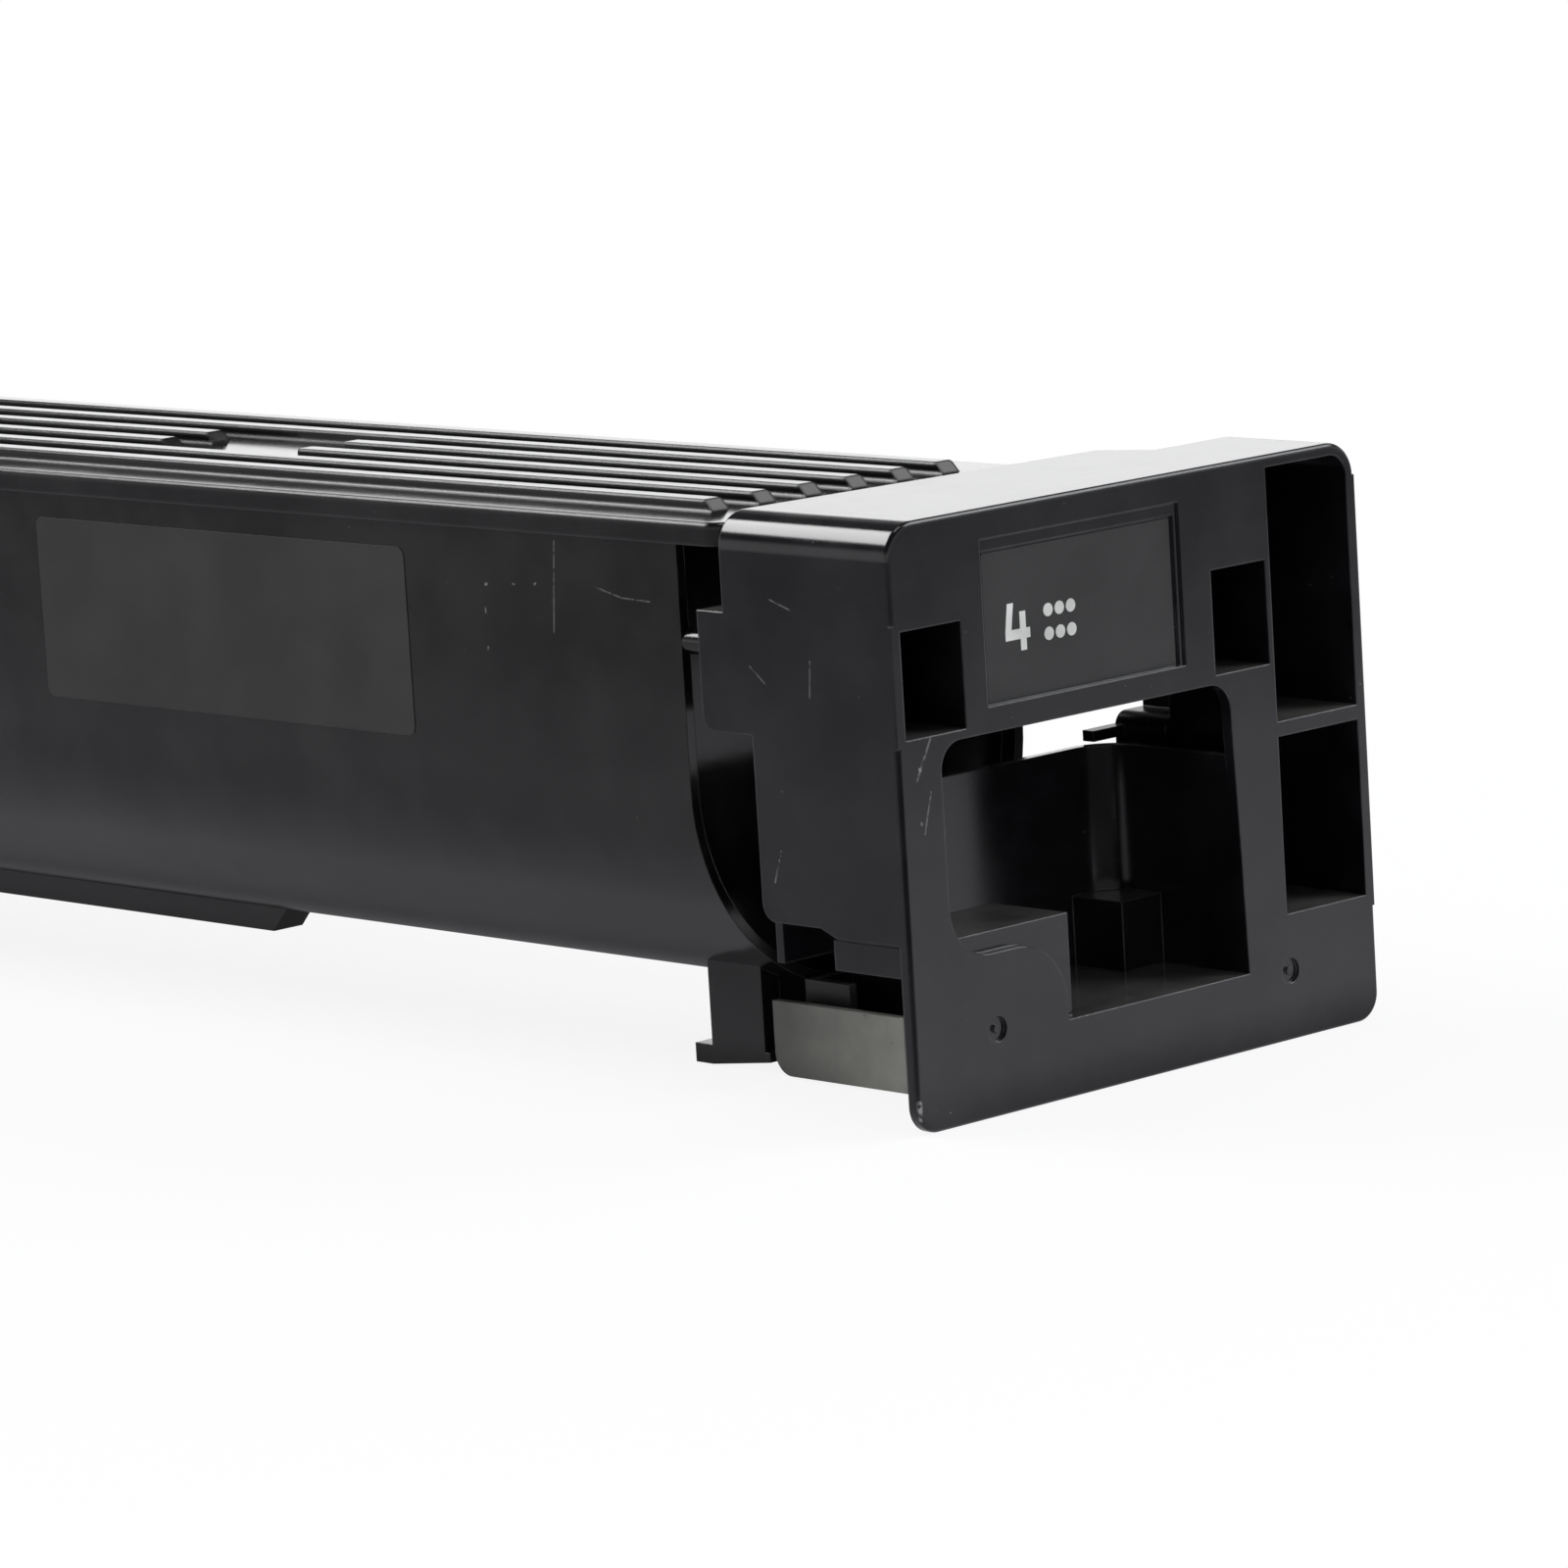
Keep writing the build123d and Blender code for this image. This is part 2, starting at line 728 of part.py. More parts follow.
with BuildPart() as outlet_shutter:
    shutter_foot = shutter_floor_top - shutter_floor
    shutter_left = trough_x - shutter_half_width
    shutter_right = trough_x + shutter_half_width
    lip_foot = rail_foot + rail_thickness + shutter_play
    with BuildSketch(section(shutter_start)):
        upright(shutter_left, shutter_right, shutter_foot, shutter_floor_top)
        upright(shutter_left, shutter_left + shutter_wall, shutter_foot, shutter_top)
        upright(shutter_right - shutter_wall, shutter_right, shutter_foot, shutter_far_top)
        upright(shutter_left, shutter_left + shutter_lip, lip_foot, lip_foot + shutter_lip_thickness)
        upright(shutter_right - shutter_lip, shutter_right, lip_foot, lip_foot + shutter_lip_thickness)
    extrude(amount=shutter_start - shutter_end)
    wall(
        shutter_left,
        shutter_right,
        shutter_start,
        shutter_start + shutter_wall,
        shutter_foot,
        rail_foot - shutter_play,
    )
    rear_foot = outlet_shutter.edges().filter_by(Axis.X).group_by(Axis.Y)[-1].group_by(Axis.Z)[0]
    fillet(rear_foot, shutter_floor * 0.9)
    with BuildSketch(Plane.YZ.offset(shutter_left)) as heel:
        upright(shutter_end - shutter_corner, shutter_end, shutter_foot, shutter_foot + shutter_corner)
        with Locations((shutter_end - shutter_corner, shutter_foot + shutter_corner)):
            Circle(shutter_corner, mode=Mode.SUBTRACT)
    extrude(amount=shutter_wall, mode=Mode.SUBTRACT)
finish(outlet_shutter, "outlet_shutter")

# Auger: a shaft with one long flight, flat on one side where its gear sits

with BuildPart() as auger:
    auger_shaft_start = tube_front + bush_cap + bush_gap
    flight_start = tube_front + tube_end_wall + bush_flange + auger_end_gap
    flight_end = rear_wall - seal_length - auger_end_gap
    rod(trough_x, auger_z, auger_shaft_start, gear_end, shaft_radius)
    with BuildLine() as flight_path:
        Helix(
            pitch=auger_pitch,
            height=flight_end - flight_start,
            radius=shaft_radius,
            center=(trough_x, flight_start, auger_z),
            direction=(0, 1, 0),
        )
    flight_root = flight_path.line @ 0
    outward = flight_root - Vector(trough_x, flight_start, auger_z)
    with BuildSketch(Plane(origin=flight_root, x_dir=outward, z_dir=flight_path.line % 0)):
        with BuildLine():
            Polyline(
                (-shaft_radius / 3, flight_thickness / 2),
                (auger_radius - shaft_radius, flight_thickness / 3),
                (auger_radius - shaft_radius, -flight_thickness / 3),
                (-shaft_radius / 3, -flight_thickness / 2),
                close=True,
            )
        make_face()
    sweep(path=flight_path.line, is_frenet=True)
    wall(
        trough_x + shaft_flat,
        trough_x + shaft_radius,
        gear_start,
        gear_end,
        auger_z - shaft_radius,
        auger_z + shaft_radius,
        Mode.SUBTRACT,
    )
finish(auger, "auger")

# Agitator: a core with a ladder of paddles on one side and a film on the other

paddle_pitch = (agitator_end - agitator_start) / paddle_count
paddle_places = [agitator_start + paddle_pitch * (index + 0.5) for index in range(paddle_count)]

with BuildPart() as agitator_shaft:
    rod(trough_x, agitator_z, front_wall - bush_gap, gear_end, shaft_radius)
    core_start = front_wall_inside + bush_flange + bush_gap
    core_end = rear_wall - seal_length - bush_gap
    rod(trough_x, agitator_z, core_start, core_end, agitator_core)
    with BuildSketch(Plane.XY.offset(agitator_z - paddle_thickness / 2)) as ladder:
        upright(trough_x - film_seat, trough_x + paddle_radius, agitator_start, agitator_end)
        fillet(ladder.vertices().group_by(Axis.X)[-1], paddle_rim)
        window_width = paddle_radius - paddle_rim - agitator_core
        with Locations(*[(trough_x + agitator_core + window_width / 2, place) for place in paddle_places]):
            RectangleRounded(window_width, paddle_pitch - paddle_bar, paddle_rim / 2, mode=Mode.SUBTRACT)
    extrude(amount=paddle_thickness)
    # Stakes that hold the film
    stake_x = trough_x - (agitator_core + film_seat) / 2
    stake_z = agitator_z + (paddle_thickness + stake_height) / 2
    with Locations(*[(stake_x, place, stake_z) for place in paddle_places]):
        Cylinder(stake_radius, stake_height)
    wall(
        trough_x + shaft_flat,
        trough_x + shaft_radius,
        gear_start,
        gear_end,
        agitator_z - shaft_radius,
        agitator_z + shaft_radius,
        Mode.SUBTRACT,
    )
finish(agitator_shaft, "agitator_shaft")

with BuildPart() as agitator_film:
    with BuildSketch(Plane.XY.offset(agitator_z + paddle_thickness / 2)):
        film_edge = trough_x - agitator_radius
        upright(film_edge, trough_x - agitator_core - bush_gap, agitator_start, agitator_end)
        with Locations(*[(stake_x, place) for place in paddle_places]):
            Circle(stake_radius + stake_play, mode=Mode.SUBTRACT)
        for place in paddle_places[1:]:
            slit_low = place - paddle_pitch / 2 - film_slit / 2
            upright(film_edge, film_edge + film_slit_depth, slit_low, slit_low + film_slit, Mode.SUBTRACT)
    extrude(amount=film_thickness)
finish(agitator_film, "agitator_film")

# Bushes: closed caps at the front ends, open flanged sleeves in the rear wall


def bush(label, z, body_start, body_end, flange_start, bore_start, bore_end):
    """Flanged plastic bush on the auger's or the agitator's shaft."""
    with BuildPart() as sleeve:
        rod(trough_x, z, body_start, body_end, bush_radius)
        rod(trough_x, z, flange_start, flange_start + bush_flange, bush_flange_radius)
        rod(trough_x, z, bore_start, bore_end, shaft_bore, Mode.SUBTRACT)
    finish(sleeve, label)


tube_end = tube_front + tube_end_wall
bush(
    "auger_front_bush",
    auger_z,
    tube_front,
    tube_end,
    tube_end,
    tube_front + bush_cap,
    tube_end + bush_flange,
)
bush(
    "agitator_front_bush",
    agitator_z,
    front_wall - bush_cap - bush_gap,
    front_wall_inside,
    front_wall_inside,
    front_wall - bush_gap * 2,
    front_wall_inside + bush_flange,
)
for rear_label, rear_z in (("auger_rear_bush", auger_z), ("agitator_rear_bush", agitator_z)):
    bush(rear_label, rear_z, rear_wall, hopper_rear, hopper_rear, rear_wall, hopper_rear + bush_flange)

# Felt rings round the shafts, inside the rear wall

for seal_label, seal_z in (("auger_seal", auger_z), ("agitator_seal", agitator_z)):
    with BuildPart() as felt_ring:
        rod(trough_x, seal_z, rear_wall - seal_length, rear_wall, seal_radius)
        rod(trough_x, seal_z, rear_wall - seal_length, rear_wall, shaft_radius + seal_play, Mode.SUBTRACT)
    finish(felt_ring, seal_label)

# Spur gears behind the rear wall


def involute(angle):
    """Involute of an angle in radians."""
    return tan(angle) - angle


def gear_teeth(teeth, turn):
    """Toothed outline round the origin of a sketch, with one tooth's middle at the given angle."""
    pitch_radius = gear_module * teeth / 2
    base_radius = pitch_radius * cos(radians(pressure_angle))
    root_radius = pitch_radius - 1.25 * gear_module
    tip_radius = pitch_radius + gear_module
    half_tooth = pi / 2 / teeth - gear_backlash / 2 / pitch_radius + involute(radians(pressure_angle))
    flank = []
    for radius in (root_radius - gear_module / 2, max(base_radius, root_radius), pitch_radius, tip_radius):
        reach = max(radius, base_radius)
        half_angle = half_tooth - involute(acos(base_radius / reach))
        flank.append((radius * cos(half_angle), radius * sin(half_angle)))
    mirrored = [(along, -across) for along, across in reversed(flank)]
    Circle(root_radius)
    with BuildSketch(mode=Mode.PRIVATE) as tooth:
        with BuildLine():
            Polyline(*flank, *mirrored, close=True)
        make_face()
    with PolarLocations(0, teeth, start_angle=turn):
        add(tooth.sketch)


def shaft_hole():
    """D-shaped hole that fits the flattened end of a shaft."""
    with BuildSketch(mode=Mode.PRIVATE) as hole:
        Circle(shaft_bore)
        upright(shaft_flat + shaft_play, shaft_bore, -shaft_bore, shaft_bore, mode=Mode.SUBTRACT)
    add(hole.sketch, mode=Mode.SUBTRACT)


def spur_gear(label, z, teeth, turn):
    """Gear on the auger's or the agitator's shaft: toothed rim, web and hub."""
    rim_inside = gear_module * (teeth / 2 - 1.25) - rim_thickness
    web_gap = (gear_face - web_thickness) / 2
    with BuildPart() as gear:
        with BuildSketch(section(gear_start, trough_x, z)):
            gear_teeth(teeth, turn)
            shaft_hole()
        extrude(amount=-gear_face)
        for recess_start in (gear_start, gear_end - web_gap):
            with BuildSketch(section(recess_start, trough_x, z)):
                Circle(rim_inside)
                Circle(hub_radius, mode=Mode.SUBTRACT)
            extrude(amount=-web_gap, mode=Mode.SUBTRACT)
    finish(gear, label)


spur_gear("agitator_gear", agitator_z, agitator_teeth, 90)
spur_gear("auger_gear", auger_z, auger_teeth, 90 + 180 / auger_teeth)

# Drive coupling: a pinion with a lugged cup that the machine's shaft turns

mesh_turn = drive_angle + 180 + (drive_angle - 90) * agitator_teeth / drive_teeth
with BuildPart() as drive_coupling:
    with BuildSketch(section(gear_start, drive_x, drive_z)):
        gear_teeth(drive_teeth, mesh_turn + 180 / drive_teeth)
    extrude(amount=-gear_face)
    cup_end = cap_rear - coupling_inset
    rod(drive_x, drive_z, gear_end, cup_end, coupling_radius)
    rod(drive_x, drive_z, gear_end + web_thickness, cup_end, coupling_radius - coupling_wall, Mode.SUBTRACT)
    with BuildSketch(section(gear_end, drive_x, drive_z)):
        with PolarLocations(coupling_radius - coupling_wall, coupling_lugs):
            Rectangle(coupling_wall * 1.5, coupling_wall * 1.2)
    extrude(amount=gear_end - cup_end)
    rod(drive_x, drive_z, gear_start, gear_end + web_thickness, spindle_radius + shaft_play, Mode.SUBTRACT)
finish(drive_coupling, "drive_coupling")

with BuildPart() as drive_spindle:
    rod(drive_x, drive_z, hopper_rear - spindle_seat, gear_end + web_thickness, spindle_radius)
    spindle_tip = drive_spindle.edges().filter_by(GeomType.CIRCLE).sort_by(Axis.Y)[-1]
    chamfer(spindle_tip, spindle_radius / 5)
finish(drive_spindle, "drive_spindle")

# Rear cap over the gears, with the foot that levels the cartridge

with BuildSketch() as cap_outline:
    upright(trough_left, trough_right, trough_z, cap_top)
    with Locations((trough_x, trough_z)):
        Circle(trough_radius)
    upright(trough_left + cap_foot_inset, trough_right - cap_foot_inset, 0, cap_foot_height)
    fillet(cap_outline.vertices().group_by(Axis.Y)[-1], cap_corner)
    fillet(cap_outline.vertices().group_by(Axis.Y)[0], cap_corner)

with BuildPart() as rear_cap:
    with BuildSketch(section(hopper_rear)):
        add(cap_outline.sketch)
    extrude(amount=-cap_depth)
    fillet(rear_cap.edges().group_by(Axis.Y)[-1], cap_edge_round)
    with BuildSketch(section(hopper_rear)):
        add(cap_outline.sketch)
        offset(amount=-cap_wall, mode=Mode.INTERSECT)
    extrude(amount=cap_wall - cap_depth, mode=Mode.SUBTRACT)
    # Apron that closes the foot where it stands below the hopper
    with BuildSketch(section(hopper_rear)):
        add(cap_outline.sketch)
        with Locations((trough_x, trough_z)):
            Circle(trough_bore, mode=Mode.SUBTRACT)
        upright(trough_left, trough_right, trough_z, cap_top, mode=Mode.SUBTRACT)
    extrude(amount=-cap_apron)
    for screw_x, screw_z in cap_screw_places:
        rod(screw_x, screw_z, hopper_rear, cap_rear - cap_wall / 2, cap_post_radius)
        head_hole_radius = screw_head_radius + cap_screw_play
        rod(screw_x, screw_z, hopper_rear + cap_seat, cap_rear, head_hole_radius, Mode.SUBTRACT)
        rod(screw_x, screw_z, hopper_rear, cap_rear, screw_hole_radius, Mode.SUBTRACT)
    rod(drive_x, drive_z, cap_rear - cap_wall, cap_rear, coupling_radius + coupling_clearance, Mode.SUBTRACT)
finish(rear_cap, "rear_cap")

# Screws, identical, in three sets


def screws(label, places, seat, towards_rear):
    """Pan-head screws with cross recesses, heads against a seat; they point to the rear or to the front."""
    direction = 1 if towards_rear else -1
    with BuildPart() as screw_set:
        for x, z in places:
            head_side = seat - direction * screw_head_height
            tip = seat + direction * screw_length
            rod(x, z, min(seat, head_side), max(seat, head_side), screw_head_radius)
            rod(x, z, min(seat, tip), max(seat, tip), screw_radius)
            recess_floor = seat - direction * screw_head_height / 2
            recess_low = min(head_side, recess_floor)
            recess_high = max(head_side, recess_floor)
            slot_half = screw_head_height / 6
            for across, along in ((slot_half, screw_radius), (screw_radius, slot_half)):
                wall(x - across, x + across, recess_low, recess_high, z - along, z + along, Mode.SUBTRACT)
    finish(screw_set, label)


screws("cover_screws", cover_screw_places, well_depth - cover_wall, True)
screws("outlet_screws", outlet_screw_places, front_wall - flange_thickness, True)
screws("rear_cap_screws", cap_screw_places, hopper_rear + cap_seat, False)

# Filler plug, a hollow stopper in the front wall

with BuildPart() as filler_plug:
    rod(trough_x, filler_z, front_wall - plug_flange, front_wall, filler_radius + plug_flange_margin)
    rod(trough_x, filler_z, front_wall, front_wall + plug_depth, filler_radius)
    rod(trough_x, filler_z, front_wall, front_wall + plug_depth, filler_radius - plug_wall, Mode.SUBTRACT)
finish(filler_plug, "filler_plug")

# Stepped holder of the memory chip, behind the tall pockets

with BuildPart() as chip_holder:
    holder_start = pocket_depth
    holder_end = pocket_depth + holder_depth
    with BuildSketch(section(holder_start)) as holder_steps:
        upright(holder_left, holder_right, holder_foot, holder_top)
        fillet(holder_steps.vertices().sort_by_distance((holder_left, holder_top))[0], holder_corner)
        upright(holder_step_x, holder_right, holder_foot, holder_step_top)
    extrude(amount=-holder_depth)
    shelf_start = grip_depth + grip_wall + bush_gap
    wall(
        holder_shelf_left,
        holder_left + holder_corner,
        shelf_start,
        shelf_start + holder_shelf_depth,
        holder_shelf_top - holder_shelf_thickness,
        holder_shelf_top,
    )
    chip_y = (holder_start + holder_end) / 2
    chip_z = (holder_foot + holder_top) / 2
    wall(
        holder_right - chip_recess,
        holder_right,
        chip_y - chip_width / 2 - chip_play,
        chip_y + chip_width / 2 + chip_play,
        chip_z - chip_height / 2 - chip_play,
        chip_z + chip_height / 2 + chip_play,
        Mode.SUBTRACT,
    )
finish(chip_holder, "chip_holder")

with BuildPart() as memory_chip:
    wall(
        holder_right - chip_recess,
        holder_right - chip_recess + chip_thickness,
        chip_y - chip_width / 2,
        chip_y + chip_width / 2,
        chip_z - chip_height / 2,
        chip_z + chip_height / 2,
    )
finish(memory_chip, "memory_chip")
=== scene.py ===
from math import cos, pi, radians, sin

import bmesh
import bpy
from mathutils import Matrix, Vector


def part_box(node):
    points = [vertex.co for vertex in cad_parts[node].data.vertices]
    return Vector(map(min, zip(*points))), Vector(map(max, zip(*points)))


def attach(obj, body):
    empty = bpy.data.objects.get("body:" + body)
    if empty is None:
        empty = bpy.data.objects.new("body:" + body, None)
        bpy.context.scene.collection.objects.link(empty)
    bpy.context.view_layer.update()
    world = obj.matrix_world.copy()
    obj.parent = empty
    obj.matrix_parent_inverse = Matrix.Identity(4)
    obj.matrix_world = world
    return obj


# The cartridge as it is moulded and assembled: every rigid piece comes in with
# its shape, and the sections below give each its finish, marks and labels.
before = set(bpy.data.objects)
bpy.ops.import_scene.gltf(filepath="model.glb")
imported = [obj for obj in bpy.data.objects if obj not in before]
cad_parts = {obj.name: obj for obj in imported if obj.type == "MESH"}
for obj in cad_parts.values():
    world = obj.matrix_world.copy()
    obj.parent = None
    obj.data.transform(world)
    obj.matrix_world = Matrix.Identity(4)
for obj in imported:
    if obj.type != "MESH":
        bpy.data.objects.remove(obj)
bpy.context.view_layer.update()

# Camera: a long lens left of the face and a little above the cartridge, on a
# stand that leans slightly to one side.
turn = -0.7521413
tilt = 0.1635731
lean = 0.0609055
film_width = 36
picture_width = 1600
focal_pixels = 7895.379
eye = (-1.0610, -1.0329, 0.3062)
away = Vector((sin(turn) * cos(tilt), -cos(turn) * cos(tilt), sin(tilt)))
level = (-away).cross(Vector((0, 0, 1))).normalized()
upward = level.cross(-away)
leaned_right = level * cos(lean) - upward * sin(lean)
leaned_up = level * sin(lean) + upward * cos(lean)
camera_data = bpy.data.cameras.new("set_camera")
camera_data.sensor_width = film_width
camera_data.lens = focal_pixels * film_width / picture_width
camera_data.clip_end = 20
camera = bpy.data.objects.new("set_camera", camera_data)
camera.matrix_world = Matrix(
    (
        (leaned_right.x, leaned_up.x, away.x, eye[0]),
        (leaned_right.y, leaned_up.y, away.y, eye[1]),
        (leaned_right.z, leaned_up.z, away.z, eye[2]),
        (0, 0, 0, 1),
    )
)
bpy.context.collection.objects.link(camera)
bpy.context.scene.camera = camera
bpy.context.scene.view_settings.view_transform = "Standard"

# Studio: a white paper sheet on a table, in a grey room with a white wall behind.
# The eye sees white all round the cartridge; polished plastic mirrors the wall
# and the sheet, and past them the grey floor and the dark ceiling.
inlet_places = {"first": 0, "second": 1, "third": 2}


def finish_step(tree, kind, operation=None, **feeds):
    """One step of a finish or of the room's light, fed with values or with other steps' outlets."""
    step = tree.nodes.new("ShaderNode" + kind)
    if kind == "Mix":
        step.data_type = operation
    elif operation:
        step.operation = operation
    for name, feed in feeds.items():
        inlet = step.inputs[inlet_places.get(name, name.replace("_", " "))]
        if isinstance(feed, bpy.types.NodeSocket):
            tree.links.new(feed, inlet)
        else:
            inlet.default_value = feed
    return step


def eased(tree, feed, start, end, least=0.0, most=1.0):
    """Outlet that goes from least to most while the feed goes from start to end."""
    ends = {"From_Min": start, "From_Max": end, "To_Min": least, "To_Max": most}
    return finish_step(tree, "MapRange", Value=feed, **ends).outputs["Result"]


def toned(tree, feed, stops):
    """Outlet with the colours of a ramp, given as places on it from low to high."""
    ramp = finish_step(tree, "ValToRGB", Fac=feed)
    for number, (place, colour) in enumerate(stops):
        new_ramp_has = number < 2
        stops_now = ramp.color_ramp.elements
        stop = stops_now[number] if new_ramp_has else stops_now.new(place)
        stop.position = place
        stop.color = (*colour, 1)
    return ramp.outputs["Color"]


def mirror_share(tree, path):
    """Outlet that is 1 for rays that polished or clear plastic sends out."""
    glossy, clear = path.outputs["Is Glossy Ray"], path.outputs["Is Transmission Ray"]
    return finish_step(tree, "Math", "MAXIMUM", first=glossy, second=clear).outputs[0]


floor_grey = (0.34, 0.34, 0.36)
wall_white = (0.85, 0.85, 0.87)
ceiling_dark = (0.1, 0.1, 0.105)
world = bpy.data.worlds.new("white_studio")
bpy.context.scene.world = world
world.use_nodes = True
room = world.node_tree
room.nodes.clear()
seen = finish_step(room, "LightPath")
towards = finish_step(room, "TexCoord")
height = finish_step(room, "SeparateXYZ", Vector=towards.outputs["Generated"])
room_tones = toned(
    room,
    eased(room, height.outputs["Z"], -1, 1),
    ((0.46, floor_grey), (0.5, wall_white), (0.6, wall_white), (0.66, ceiling_dark)),
)
backdrop_white = finish_step(room, "Background", Color=(1, 1, 1, 1), Strength=1.0)
mirrored_room = finish_step(room, "Background", Color=room_tones, Strength=1.0)
soft_fill = finish_step(room, "Background", Color=(0.95, 0.97, 1, 1), Strength=0.3)
fill_or_mirror = finish_step(
    room,
    "MixShader",
    first=mirror_share(room, seen),
    second=soft_fill.outputs[0],
    third=mirrored_room.outputs[0],
)
room_light = finish_step(
    room,
    "MixShader",
    first=seen.outputs["Is Camera Ray"],
    second=fill_or_mirror.outputs[0],
    third=backdrop_white.outputs[0],
)
finish_step(room, "OutputWorld", Surface=room_light.outputs[0])

sheet_left, sheet_right = -0.6, 0.7
sheet_near, sheet_far = -0.6, 1.0
sheet_corners = [
    (sheet_left, sheet_near, 0),
    (sheet_right, sheet_near, 0),
    (sheet_right, sheet_far, 0),
    (sheet_left, sheet_far, 0),
]
sheet_mesh = bpy.data.meshes.new("paper_sheet")
sheet_mesh.from_pydata(sheet_corners, [], [(0, 1, 2, 3)])
paper_sheet = bpy.data.objects.new("paper_sheet", sheet_mesh)
bpy.context.collection.objects.link(paper_sheet)
paper = bpy.data.materials.new("white_paper")
paper.use_nodes = True
fibres = paper.node_tree
fibres.nodes.clear()
paper_seen = finish_step(fibres, "LightPath")
spot = finish_step(fibres, "TexCoord").outputs["Object"]
spot_parts = finish_step(fibres, "SeparateXYZ", Vector=spot)
spot_x, spot_y = spot_parts.outputs["X"], spot_parts.outputs["Y"]

# The eye sees the sheet almost white, and fully white away from the cartridge.
from_middle = finish_step(fibres, "VectorMath", "DISTANCE", first=spot, second=(0, 0.2, 0))
whiter = eased(fibres, from_middle.outputs["Value"], 0.24, 0.5, 0.88, 1.0)
seen_share = finish_step(
    fibres, "Math", "MULTIPLY", first=paper_seen.outputs["Is Camera Ray"], second=whiter
)
paper_coat = finish_step(fibres, "BsdfDiffuse", Color=(0.9, 0.9, 0.9, 1))
paper_white = finish_step(fibres, "Emission", Color=(1, 1, 1, 1), Strength=1.0)
paper_to_eye = finish_step(
    fibres,
    "MixShader",
    first=seen_share.outputs[0],
    second=paper_coat.outputs[0],
    third=paper_white.outputs[0],
)

# In polished plastic the sheet shows a painted reflection: it glows bright before the face, and
# painted shade makes it grey beside the hopper and dark under it.
painted_side_shade_greys = ((0.0, 0.27), (0.4, 0.52), (0.76, 0.42), (0.88, 0.48), (0.95, 0.14))
painted_shade_beside = toned(
    fibres,
    eased(fibres, spot_x, -0.5, 0.0),
    [(place, (grey, grey, grey)) for place, grey in painted_side_shade_greys],
)
slant = finish_step(fibres, "Math", "MULTIPLY_ADD", first=spot_y, second=0.85, third=spot_x)
painted_light_before_face = finish_step(
    fibres,
    "Math",
    "MULTIPLY",
    first=eased(fibres, slant.outputs[0], -0.12, -0.06, 0.1, 1.0),
    second=eased(fibres, spot_y, -0.5, -0.15, 0.42, 1.0),
)
painted_reflection_tone = finish_step(
    fibres,
    "Mix",
    "FLOAT",
    Factor=eased(fibres, spot_y, 0.02, -0.03),
    A=painted_shade_beside,
    B=painted_light_before_face.outputs[0],
)
# The sheet's glow in polished and clear plastic is no lamp: its strength is painted light and
# shade.
paper_painted_reflection = finish_step(
    fibres, "Emission", Color=(0.95, 0.94, 1, 1), Strength=painted_reflection_tone.outputs["Result"]
)
paper_or_gloss = finish_step(
    fibres,
    "MixShader",
    first=mirror_share(fibres, paper_seen),
    second=paper_to_eye.outputs[0],
    third=paper_painted_reflection.outputs[0],
)
finish_step(fibres, "OutputMaterial", Surface=paper_or_gloss.outputs[0])
sheet_mesh.materials.append(paper)


def soft_lamp(name, place, aim, width, height, brightness, colour=(1, 1, 1)):
    """Rectangular soft box of one brightness, aimed at a point of the cartridge."""
    lamp = bpy.data.lights.new(name, "AREA")
    lamp.shape = "RECTANGLE"
    lamp.size = width
    lamp.size_y = height
    lamp.energy = brightness * pi * width * height
    lamp.color = colour
    holder = bpy.data.objects.new(name, lamp)
    holder.location = place
    holder.rotation_euler = (Vector(aim) - Vector(place)).to_track_quat("-Z", "Y").to_euler()
    bpy.context.collection.objects.link(holder)


soft_lamp("key_box", (-0.48, 1.1, 1.06), (-0.06, 0.02, 0.11), 0.97, 0.45, 10)
soft_lamp("right_box", (1.15, -0.25, 1.15), (0, 0, 0.08), 0.6, 0.6, 2.5)
soft_lamp("overhead_box", (0, -0.1, 1.4), (0, 0.05, 0), 0.5, 0.5, 3.5)
soft_lamp("back_strip", (1.6, 1.8, 0.5), (0, 0.1, 0.1), 2.6, 0.75, 0.72)
soft_lamp("front_right_box", (0.95, -0.75, 1.0), (0, 0, 0.06), 0.7, 0.7, 6, (0.94, 0.97, 1))

# Hopper: a long U-shaped trough in black styrene, moulded smooth in one piece.
# Handling has left it softly blurred, with fine scratches and a few pale specks.
dust_pale = (0.3, 0.3, 0.29, 1)
# The next two greys make upward faces paler and paint a highlight along the edges.
top_grey = (0.2, 0.2, 0.185, 1)
painted_highlight_grey = (0.14, 0.14, 0.14, 1)
scratch_pale = (0.33, 0.33, 0.32, 1)


def blended(tree, share, base, over):
    """Outlet with one colour laid over another by a share."""
    return finish_step(tree, "Mix", "RGBA", Factor=share, A=base, B=over).outputs["Result"]


